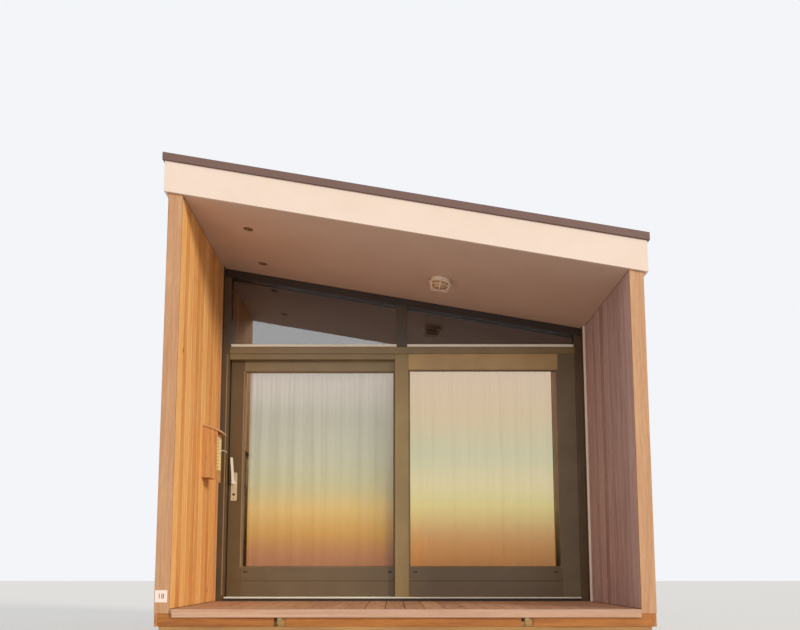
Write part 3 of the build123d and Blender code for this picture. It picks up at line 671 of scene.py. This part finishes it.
def deck_boards():
    """The boards of the porch. It returns the left and right side of each."""
    count = int(INNER_X / DECK_PITCH) + 1
    sides = [(max(step * DECK_PITCH, -INNER_X) + DECK_GAP / 2,
              min((step + 1) * DECK_PITCH, INNER_X) - DECK_GAP / 2) for step in range(-count, count)]
    boards = [(x_range, (deck_lo.y, deck_hi.y), (deck_lo.z, deck_hi.z)) for x_range in sides]
    squared("deck_boards", boards, DECK_ARRIS, deck_wood, stands_for=["deck"])
    return sides


def deck_screws(sides):
    """Screw heads, half sunk in the face of the boards."""
    bm = bmesh.new()
    for left, right in sides:
        for row in SCREW_ROWS:
            for x in (left + SCREW_FROM_EDGE, right - SCREW_FROM_EDGE):
                spot = Matrix.Translation((x, FRONT_Y + row, DECK_Z - SCREW_SUNK))
                bmesh.ops.create_circle(bm, cap_ends=True, segments=8, radius=SCREW_RADIUS, matrix=spot)
    extruded(bm, bm.faces[:], (0, 0, SCREW_HEIGHT))
    keep(bm, "deck_screws", dark_steel)


deck_screws(deck_boards())

# %% [markdown]
# The rest of the carcass keeps the frame's own shapes. Their arrises are taken off, because it is the eased
# edge that catches the light.

# %% Base and roof
eased("floor", floor_wood, 0.002)
eased("support_posts", post_pine, 0.004)
eased("end_beams", pine_x, 0.004)
eased("side_beams", pine_y, 0.004)
eased("floor_joists", pine_x, 0.003)
eased("rim_blocks", pine_x, 0.003)
eased("side_skirts", skirt_wood, 0.003)
eased("end_fascias", fascia_paint, 0.002)
eased("side_fascias", fascia_paint, 0.002)
eased("roof_edge_trim", edge_metal, 0.003)
eased("roof_covering", roof_membrane, 0.004)

# %% Front rim boards
RIM_BLOCK_WIDTH = 0.054
RIM_GAP = 0.028
RIM_END = (-0.005, 0.001)   # a vertex this far from a block's side is on the end of a board
BRACKET_SHEET, BRACKET_LEG, BRACKET_HEIGHT = 0.003, 0.026, 0.062
BRACKET_DROP = 0.012        # from the top of the rim board
BRACKET_STEP = 0.028        # from the foot of the bracket to its front flap
BRACKET_SCREWS = ((0.008, 0.022), (0.018, 0.038), (0.040, 0.018))   # right of the block's side, down
block_lo, block_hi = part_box("rim_blocks")


def front_rim():
    """The front rim boards stop short of the left side of each block, where a steel angle is screwed."""
    rim = eased("rim_boards", rim_wood, 0.003)
    ends = (block_lo.x, block_hi.x - RIM_BLOCK_WIDTH)
    for vert in rim.data.vertices:
        if vert.co.y < 0 and any(RIM_END[0] < vert.co.x - end < RIM_END[1] for end in ends):
            vert.co.x -= RIM_GAP
    angles = []
    screws = bmesh.new()
    rim_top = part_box("rim_boards")[1].z
    face = block_lo.y
    front = (face - BRACKET_SHEET, face)
    for end in ends:
        top = rim_top - BRACKET_DROP
        foot = top - BRACKET_HEIGHT
        angles.append(((end - BRACKET_SHEET, end), (face, face + BRACKET_LEG), (foot, top)))
        angles.append(((end - BRACKET_SHEET, end + BRACKET_LEG), front, (foot + BRACKET_STEP, top)))
        for right, down in BRACKET_SCREWS:
            turned(screws, SCREW_PROFILE, Vector((end + right, front[0], rim_top - down)), FORWARD, 10)
    squared("rim_angles", angles, 0.0008, zinc, shortest=0.002)
    keep(screws, "rim_screws", satin_steel, smooth=True)


front_rim()
refinish("deck_nosing", nosing_wood)
refinish("soffit", soffit_paint)
refinish("roof_slab", roof_panel)

# %% [markdown]
# The window wall is painted joinery, with the brush lines along its stiles and rails. Its pieces take lighter
# and darker copies of one paint, painted light and painted shade. The sill under the high panes is pale
# metal, the brightest line of the wall.

# %% Window wall joinery
ARRIS = 0.0035


def joinery(node, finish, body="hut"):
    """A painted piece of the window wall, with a rounder arris."""
    return eased(node, finish, ARRIS, body, segments=3)


def is_high(face):
    return face.center.z > DECK_Z + 1.0


# Each piece takes its lit or shaded copy of the paint, and the high faces of the rails a lighter one than the
# low faces: painted light and painted shade.
joinery("transom_post", post_paint_painted_shade)
joinery("transom_rail", frame_level_painted_light)
joinery("track_cover", frame_level_painted_light)
second_finish(joinery("fixed_rails", leaf_level_painted_shade), fixed_level_painted_light, is_high)
second_finish(joinery("fixed_stiles", meeting_paint_painted_light), stile_paint,
              lambda face: face.center.x > INNER_X / 2)
joinery("frame_jambs", jamb_paint_painted_shade)
joinery("frame_head", head_paint_painted_shade)
joinery("door_stiles", leaf_paint_painted_shade, "door")
second_finish(joinery("door_rails", leaf_level_painted_shade, "door"), frame_level_painted_light, is_high)
eased("fixed_beads", frame_upright, 0.001)
eased("door_beads", frame_upright, 0.001, "door")
eased("transom_sill", sill_metal, 0.002)
eased("curtain_rail", rail_metal, 0.002)

# %% [markdown]
# The nose of the threshold is pale metal on top. Its upright front face is painted dark, as painted shade.

# %% Threshold
THRESHOLD_DARK = 0.026      # height of the dark front face above the deck
second_finish(eased("threshold", sill_metal, 0.0015), dark_line,
              lambda face: face.normal.y < -0.9 and face.center.z < DECK_Z + THRESHOLD_DARK)

# %% [markdown]
# Each big pane is a sealed unit: two sheets of glass with a dark spacer bar round the edge. The outermost
# face mirrors and the three behind it carry the painted reflection of the sky. The high panes follow the
# slope of the soffit.

# %% Sealed glass units
SHEET = 0.004
SPACER_WIDTH = 0.014
# The margins are strips without the painted sky reflection, at the left and the right.
DOOR_MARGINS = (0.047, 0.0)     # strips without a coating, at the left and the right
FIXED_MARGINS = (0.0, 0.053)


def ring(bm, outline, y_near, y_far, width):
    """A flat ring inside an outline of (x, z) corners, with the given width, between two y planes."""
    face = bm.faces.new([bm.verts.new((x, y_near, z)) for x, z in outline])
    inner = bmesh.ops.inset_region(bm, faces=[face], thickness=width, use_even_offset=True,
                                   use_boundary=True)
    bmesh.ops.delete(bm, geom=[face], context="FACES_ONLY")
    extruded(bm, inner["faces"], (0, y_far - y_near, 0))


def sealed_unit(name, node, mirror, painted_sky, body, margins):
    """Two panes and their spacer. All faces but the outermost carry the painted sky reflection, save for the
    margins.
    """
    lo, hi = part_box(node)
    inner_face = hi.y - SHEET
    painted_span = (lo.x + margins[0], hi.x - margins[1])
    sheets = (("outer", (1,), mirror, lo.y), ("inner", (-1, 1), plain_pane, inner_face))
    for place, sides, plain, near in sheets:
        pane = bmesh.new()
        block(pane, (lo.x, hi.x), (near, near + SHEET), (lo.z, hi.z))
        for x in painted_span:
            bmesh.ops.bisect_plane(pane, geom=pane.verts[:] + pane.edges[:] + pane.faces[:], dist=WELD,
                                   plane_co=(x, 0, 0), plane_no=(1, 0, 0))
        pane.normal_update()
        for face in pane.faces:
            if round(face.normal.y) in sides and painted_span[0] < face.calc_center_median().x < painted_span[1]:
                face.material_index = 1
        keep(pane, f"{name}_{place}_pane", [plain, painted_sky], body,
             [node] if place == "outer" else ())
    spacer = bmesh.new()
    ring(spacer, [(lo.x, lo.z), (hi.x, lo.z), (hi.x, hi.z), (lo.x, hi.z)], lo.y + SHEET, inner_face,
         SPACER_WIDTH)
    keep(spacer, f"{name}_spacer", spacer_metal, body)


sealed_unit("door", "door_glass", left_outer_pane, left_painted_sky, "door", DOOR_MARGINS)
sealed_unit("fixed", "fixed_glass", right_outer_pane, right_painted_sky, "hut", FIXED_MARGINS)

# %% High panes over the transom
HEAD_HEIGHT = soffit_z(INNER_X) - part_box("frame_head")[0].z
HIGH_SPACER_WIDTH = SPACER_WIDTH * 0.8
TRANSOM_BEAD = 0.013
TRANSOM_BEAD_DEPTH = 0.012
glass_lo, glass_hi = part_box("transom_glass")
post_lo, post_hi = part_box("transom_post")


def high_panes():
    outer, inner, beads, spacer = (bmesh.new() for _ in range(4))
    for x_range in ((glass_lo.x, post_lo.x), (post_hi.x, glass_hi.x)):
        left, right = x_range
        outline = [(left, glass_lo.z), (right, glass_lo.z), (right, soffit_z(right, -HEAD_HEIGHT)),
                   (left, soffit_z(left, -HEAD_HEIGHT))]
        z_range = (glass_lo.z, glass_hi.z)
        block(outer, x_range, (glass_lo.y, glass_lo.y + SHEET), z_range, -HEAD_HEIGHT)
        block(inner, x_range, (glass_hi.y - SHEET, glass_hi.y), z_range, -HEAD_HEIGHT)
        ring(spacer, outline, glass_lo.y + SHEET, glass_hi.y - SHEET, HIGH_SPACER_WIDTH)
        ring(beads, outline, glass_lo.y - TRANSOM_BEAD_DEPTH, glass_lo.y, TRANSOM_BEAD)
        ring(beads, outline, glass_hi.y, glass_hi.y + TRANSOM_BEAD_DEPTH, TRANSOM_BEAD)
    keep(outer, "transom_outer_panes", high_outer_pane, stands_for=["transom_glass"])
    keep(inner, "transom_inner_panes", transom_pane)
    keep(spacer, "transom_spacers", dark_line)
    ease(beads, sharp_edges(beads), 0.0015)
    keep(beads, "transom_beads", head_paint_painted_shade)


high_panes()

# %% [markdown]
# Caps cover the drain slots of the bottom rails. A dark lining in the jambs' painted shade closes the corner
# between the cladding and the window frame. Its front edge is painted shade on the left and a painted
# highlight on the right.

# %% Drain caps, reveal linings and highlight strips
CAP_SIZE = (0.034, 0.007, 0.012)
CAP_DROP = 0.036
LINING_THICKNESS = 0.020
LINING_DEPTH = 0.086
LINING_STRIP = 0.012
LINING_LIFT = -0.0005       # its top, from the soffit
JAMB_HIGHLIGHT = (0.031, 0.023)  # its two edges, to the left of the leaf
JAMB_HIGHLIGHT_UP = 0.05
LEAF_HIGHLIGHT_WIDTH = 0.007
HIGHLIGHT_SUNK = 0.001
lining_strip_shaded = wood("lining_strip_larch", "Z", rgb(198, 152, 106), rgb(178, 130, 84))
lining_strip_highlight = wood("lining_strip_pale", "Z", rgb(250, 240, 226), rgb(236, 222, 206), lines=0.3)
# Pale strips beside the leaf stand for the highlights on the arrises: painted highlight.
edge_highlight_finish = grit("edge_highlight_finish", rgb(176, 146, 104), rgb(150, 122, 84), 80.0, 0.0002, roughness=0.6)


def drain_caps(name, node, body, from_end):
    """A small hooded cap at each end of a bottom rail."""
    lo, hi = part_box(node)
    middle = pane_lo.z - CAP_DROP
    z_range = (middle - CAP_SIZE[2] / 2, middle + CAP_SIZE[2] / 2)
    caps = [((x - CAP_SIZE[0] / 2, x + CAP_SIZE[0] / 2), (lo.y - CAP_SIZE[1], lo.y), z_range)
            for x in (lo.x + from_end, hi.x - from_end)]
    squared(name, caps, 0.0025, dark_line, body, shortest=0.001)


drain_caps("door_drain_caps", "door_rails", "door", 0.045)
drain_caps("fixed_drain_caps", "fixed_rails", "hut", 0.06)


def reveal_lining(side, name, edge_finish):
    """A dark board on the wall, beside the frame, in the jambs' painted shade, with a strip on its front
    edge.
    """
    x_range = sorted((side * INNER_X, side * (INNER_X - LINING_THICKNESS)))
    z_range = (DECK_Z, soffit_hi.z)
    edge_y = FRAME_Y - LINING_DEPTH
    squared(f"{name}_reveal_lining", [(x_range, (edge_y, FRAME_Y), z_range)], 0.002, jamb_paint_painted_shade,
            lift=LINING_LIFT)
    squared(f"{name}_reveal_strip", [(x_range, (edge_y - LINING_STRIP, edge_y), z_range)], 0.003,
            edge_finish, lift=LINING_LIFT)


# The left strip is a darker larch, painted shade; the right one is pale, a painted highlight.
reveal_lining(-1, "left", lining_strip_shaded)
reveal_lining(1, "right", lining_strip_highlight)


def edge_highlight_strip(name, x_range, front, z_range, body, proud):
    """A pale strip that stands a little proud of the joinery, as a painted highlight along its arris."""
    squared(name, [(x_range, (front - proud, front + HIGHLIGHT_SUNK), z_range)], 0.0008, edge_highlight_finish,
            body, shortest=0.001)


leaf_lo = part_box("door_stiles")[0]
edge_highlight_strip("jamb_seal", [leaf_lo.x - edge for edge in JAMB_HIGHLIGHT], FRAME_Y,
           (DECK_Z + JAMB_HIGHLIGHT_UP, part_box("transom_rail")[0].z), "hut", 0.003)
edge_highlight_strip("leaf_seal", (pane_lo.x - LEAF_HIGHLIGHT_WIDTH, pane_lo.x), leaf_lo.y, PANE_HEIGHTS, "door", 0.0015)

# %% [markdown]
# The curtains hang from a rail behind the panes. A grid is stood up there and its columns are moved in and
# out. The folds are tighter at the heading and open towards the hem, and no two are quite alike. The cloth's
# colour is darker in the hollows and the pleats, painted shade. Solidify then gives the cloth its thickness.

# %% Curtains
FOLD_PITCH = 0.16
PLEATS_PER_FOLD = 3.5
PLEAT_REACH = 0.4           # share of the drop over which the heading's pleats die out
COLUMNS_PER_FOLD, ROWS = 30, 30
CLOTH_THICKNESS = 0.0014
CLOTH_CLEARANCE = 0.003     # from the faces of the node
CLOTH_DROP = 0.001          # from its top, and at its foot


def cloth(name, colour, fold):
    finish = Finish(name, Specular_IOR_Level=0.2, Roughness=0.85, Sheen_Weight=0.25, Sheen_Roughness=0.4)
    place = finish.place()
    weave_x = (finish.part_of(place, "X") * 2600.0).maths("SINE")
    weave_z = (finish.part_of(place, "Z") * 2600.0).maths("SINE")
    weave = weave_x * weave_z * 0.5 + 0.5
    slub = finish.noise(finish.stretched(place, (1.0, 1.0, 0.05)), 240.0, detail=2.0)
    # The fold attribute darkens the colour in the hollows and pleats: painted shade.
    depth = finish.node("ShaderNodeAttribute", {"attribute_name": "fold"}, output=2)
    finish.set(Base_Color=finish.mix(depth + slub * 0.04 + weave * 0.04, colour, fold))
    finish.bump(weave + slub, 0.25, 0.0004)
    return finish.material


curtain_cloth = cloth("curtain_cloth", rgb(252, 246, 234), rgb(84, 88, 84))


def curtain(name, node, seed):
    lo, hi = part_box(node)
    middle = (lo.y + hi.y) / 2
    width, height = hi.x - lo.x, hi.z - lo.z - 2 * CLOTH_DROP
    reach = (hi.y - lo.y) / 2 - CLOTH_CLEARANCE
    chance = Random(seed)
    folds = round(width / FOLD_PITCH)
    depth = [chance.uniform(0.35, 1.0) for _ in range(folds + 2)]
    drift = [chance.uniform(-0.3, 0.3) for _ in range(folds + 2)]
    bm = bmesh.new()
    bmesh.ops.create_grid(bm, x_segments=folds * COLUMNS_PER_FOLD, y_segments=ROWS, size=0.5)
    shade = bm.verts.layers.float.new("fold")
    for vert in bm.verts:
        across, down = vert.co.x + 0.5, 0.5 - vert.co.y
        at = across * folds
        first, share = int(at), at - int(at)
        share = share * share * (3 - 2 * share)
        fold_depth = depth[first] * (1 - share) + depth[first + 1] * share
        fold_drift = drift[first] * (1 - share) + drift[first + 1] * share
        phase = tau * (at + fold_drift * (0.3 + down))
        soft = sin(phase) * fold_depth * (0.35 + 0.65 * down ** 0.6)
        pleat = sin(tau * at * PLEATS_PER_FOLD) * 0.3 * max(0.0, 1 - down / PLEAT_REACH) ** 1.5
        pull = sin(2 * phase) * 0.06 * FOLD_PITCH * min(across, 1 - across) * 2
        vert.co = (lo.x + across * width + pull, middle + reach * max(-1, min(1, soft + pleat)),
                   hi.z - CLOTH_DROP - down * height)
        # The valley darkens the hollows of the folds: painted shade.
        valley = (0.5 - 0.5 * sin(phase)) ** 5 * fold_depth
        vert[shade] = max(0.0, 0.12 + 0.4 * valley + pleat * 0.4)
    piece = keep(bm, name, curtain_cloth, stands_for=[node], smooth=True)
    thick = piece.modifiers.new("cloth", "SOLIDIFY")
    thick.thickness = CLOTH_THICKNESS
    thick.offset = 0.0


curtain("left_curtain", "curtain_left", 3)
curtain("right_curtain", "curtain_right", 8)

# %% [markdown]
# The porch lamp is a round bulkhead with a wire cage, from the frame. The two spots beside it are turned
# here: a profile is spun about an axis that stands square to the sloping soffit.

# %% Lamp and spots
SOFFIT_TURN = Matrix.Rotation(pi, 4, "X") @ Matrix.Rotation(-atan(SLOPE), 4, "Y")
SPOT_LENS = ((0.0, 0.0022), (0.5, 0.0016), (0.62, 0.0005))      # share of the radius, height
SPOT_RIM = ((0.62, 0.0005), (0.68, 0.0038), (0.80, 0.0046), (0.94, 0.0034), (1.0, 0.0))


def spot_rims():
    """Each spot is a turned rim round a dark, slightly hollow lens."""
    lo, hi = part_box("ceiling_spots")
    radius = (hi.x - lo.x) / 2 / cos(atan(SLOPE))
    x = (lo.x + hi.x) / 2
    bm = bmesh.new()
    for y in (lo.y + radius, hi.y - radius):
        for index, profile in ((1, SPOT_LENS), (0, SPOT_RIM)):
            profile = [(radius * share, height) for share, height in profile]
            for face in turned(bm, profile, Vector((x, y, soffit_z(x))), SOFFIT_TURN):
                face.material_index = index
    keep(bm, "spot_rims", [spot_metal, spot_lens], stands_for=["ceiling_spots"], smooth=True)


spot_rims()
refinish("lamp_cage", lamp_enamel)
refinish("lamp_glass", lamp_lens)
eased("lamp_base", lamp_enamel, 0.0015)

# %% [markdown]
# Furniture of the door: the long plate and its lever are brushed metal from the frame. The lock cylinder
# and the screws are small turned pieces.

# %% Door furniture
refinish("handle_plates", satin_steel)
refinish("lever", lever_steel)
plate_lo, plate_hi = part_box("handle_plates")
CYLINDER_UP = 0.058
CYLINDER_PROFILE = ((0.0, 0.0035), (0.0100, 0.0035), (0.0118, 0.0025), (0.0125, 0.0))
KEYWAY = (0.0012, 0.0009, 0.010)    # half its width, its depth and its height
PLATE_SCREW = 0.016         # from each end of the plate


def lock_details():
    x = (plate_lo.x + plate_hi.x) / 2
    middle = plate_lo.z + CYLINDER_UP
    bm = bmesh.new()
    turned(bm, CYLINDER_PROFILE, Vector((x, plate_lo.y, middle)), FORWARD, 24)
    for z in (plate_lo.z + PLATE_SCREW, plate_hi.z - PLATE_SCREW):
        turned(bm, SCREW_PROFILE, Vector((x, plate_lo.y, z)), FORWARD, 16)
    keep(bm, "lock_cylinder", dark_steel, "door", smooth=True)
    slot = bmesh.new()
    front = plate_lo.y - CYLINDER_PROFILE[0][1]
    block(slot, (x - KEYWAY[0], x + KEYWAY[0]), (front - KEYWAY[1], front + 0.0001),
          (middle - KEYWAY[2] / 2, middle + KEYWAY[2] / 2))
    keep(slot, "lock_keyway", dark_line, "door")


lock_details()

# %% [markdown]
# The box on the wall is cedar with a bent lid. Its front carries a pale plate, a row of small dark nails
# and a bent steel tab that lifts the flap.

# %% Wall box and number plate
eased("wall_box", cedar, 0.002)
eased("wall_box_lid", box_lid_paint, 0.0015)
eased("number_plate", enamel, 0.0012)
box_lo, box_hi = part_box("wall_box")
PLATE_BOTTOM, PLATE_TOP, PLATE_SHEET = 0.100, 0.372, 0.0025
PLATE_EDGES = (0.006, 0.020)        # from the front and the back of the box
NAILS, NAILS_FROM_END, NAILS_FROM_FRONT = 9, 0.020, 0.026
NAIL_PROFILE = ((0.0, 0.0035), (0.0040, 0.0030), (0.0068, 0.0014), (0.0075, 0.0))
TAB_PATH = ((-0.004, 0.0), (0.012, 0.001), (0.030, 0.005), (0.046, 0.003), (0.058, -0.003), (0.064, -0.014))
TAB_HEIGHT, TAB_WIDTH, TAB_SHEET = 0.262, 0.016, 0.003


def box_front():
    foot, top = box_lo.z + PLATE_BOTTOM, box_lo.z + PLATE_TOP
    face = box_hi.x + PLATE_SHEET
    plate = ((box_hi.x, face), (box_lo.y + PLATE_EDGES[0], box_hi.y - PLATE_EDGES[1]), (foot, top))
    squared("box_front_plate", [plate], 0.0008, box_plate, shortest=0.004)
    nails = bmesh.new()
    for i in range(NAILS):
        z = foot + NAILS_FROM_END + (top - foot - 2 * NAILS_FROM_END) * i / (NAILS - 1)
        turned(nails, NAIL_PROFILE, Vector((face, box_lo.y + NAILS_FROM_FRONT, z)),
               Matrix.Rotation(pi / 2, 4, "Y"), 12)
    keep(nails, "box_nails", dark_line, smooth=True)


def box_tab():
    """A strip of steel bent to a path of points, out from the front of the box."""
    middle = (box_lo.y + box_hi.y) / 2
    near, far = middle - TAB_WIDTH / 2, middle + TAB_WIDTH / 2
    section = ((near, 0.0), (far, 0.0), (far, TAB_SHEET), (near, TAB_SHEET))
    bm = bmesh.new()
    rows = []
    for out, up in TAB_PATH:
        x, z = box_hi.x + out, box_lo.z + TAB_HEIGHT + up
        rows.append([bm.verts.new((x, y, z + rise)) for y, rise in section])
    for first, second in zip(rows, rows[1:]):
        for i in range(4):
            bm.faces.new((first[i], first[(i + 1) % 4], second[(i + 1) % 4], second[i]))
    bm.faces.new(rows[0][::-1])
    bm.faces.new(rows[-1])
    bmesh.ops.recalc_face_normals(bm, faces=bm.faces)
    keep(bm, "box_tab", lever_steel)


box_front()
box_tab()

# %% Digits on the number plate
DIGIT_HEIGHT, DIGIT_RISE = 0.050, 0.0004


def digits(text):
    """Raised digits, made from Blender's own font and turned into a mesh."""
    lo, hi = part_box("number_plate")
    curve = bpy.data.curves.new("digits", "FONT")
    curve.body, curve.size, curve.extrude = text, DIGIT_HEIGHT, DIGIT_RISE
    curve.align_x, curve.align_y = "CENTER", "CENTER"
    words = placed("digits_outline", curve)
    bpy.context.view_layer.update()
    mesh = bpy.data.meshes.new_from_object(words.evaluated_get(bpy.context.evaluated_depsgraph_get()))
    bpy.data.objects.remove(words)
    middle = (lo + hi) / 2
    mesh.transform(Matrix.Translation((middle.x, lo.y, middle.z)) @ FORWARD)
    bm = bmesh.new()
    bm.from_mesh(mesh)
    keep(bm, "plate_digits", digit_black)


digits("18")

# %% [markdown]
# A plain studio. One soft lamp stands low in front and to the right, as the evening sun does. A broad one is
# the sky in front, another behind fills the far sides, and the world fills the rest. The pale backdrop is
# only what is seen, mirrored or looked at through glass.

# %% Stage, lights and world
FLOOR_REACH = 60.0


def sun(name, azimuth, elevation, strength, angle, colour=(1.0, 1.0, 1.0)):
    """A soft distant lamp. Azimuth is where it stands: 0 is in front of the porch, 90 to the right."""
    data = bpy.data.lights.new(name, "SUN")
    data.energy, data.angle, data.color = strength, radians(angle), colour
    placed(name, data).rotation_euler = (radians(90 - elevation), 0, radians(azimuth))


sun("key", 45, 12, 2.0, 13, (1.0, 0.93, 0.84))
sun("front_sky", -14, 12, 0.7, 75, (1.0, 0.94, 0.88))
sun("back_fill", 205, 38, 0.8, 40)

world = bpy.data.worlds.new("studio")
bpy.context.scene.world = world
world.use_nodes = True
sky = Wiring(world.node_tree)
camera_ray, glossy_ray, through_ray = (sky.node("ShaderNodeLightPath", output=f"Is {kind} Ray")
                                       for kind in ("Camera", "Glossy", "Transmission"))
looked_at = camera_ray.maths("MAXIMUM", glossy_ray.maths("MAXIMUM", through_ray))
fill = sky.node("ShaderNodeBackground", inputs={"Color": (0.93, 0.96, 1.0, 1.0), "Strength": 0.62})
backdrop = sky.node("ShaderNodeBackground", inputs={"Color": rgb(243, 245, 249)})
chosen = sky.node("ShaderNodeMixShader", inputs={0: looked_at, 1: fill, 2: backdrop})
sky.join(chosen, sky.tree.nodes["World Output"].inputs["Surface"])

floor_finish = Finish("studio_floor", Roughness=0.9, Specular_IOR_Level=0.2, Base_Color=rgb(226, 224, 220))
floor_bm = bmesh.new()
bmesh.ops.create_grid(floor_bm, x_segments=1, y_segments=1, size=FLOOR_REACH)
floor_mesh = bpy.data.meshes.new("studio_floor")
floor_bm.to_mesh(floor_mesh)
floor_bm.free()
floor_mesh.materials.append(floor_finish.material)
placed("studio_floor", floor_mesh)
bpy.context.scene.view_settings.view_transform = "Standard"

# %% [markdown]
# Last, the number of pieces made here, and of their faces, is printed.

# %% Piece count
print("pieces", len(made_pieces), "faces", sum(len(piece.data.polygons) for piece in made_pieces))
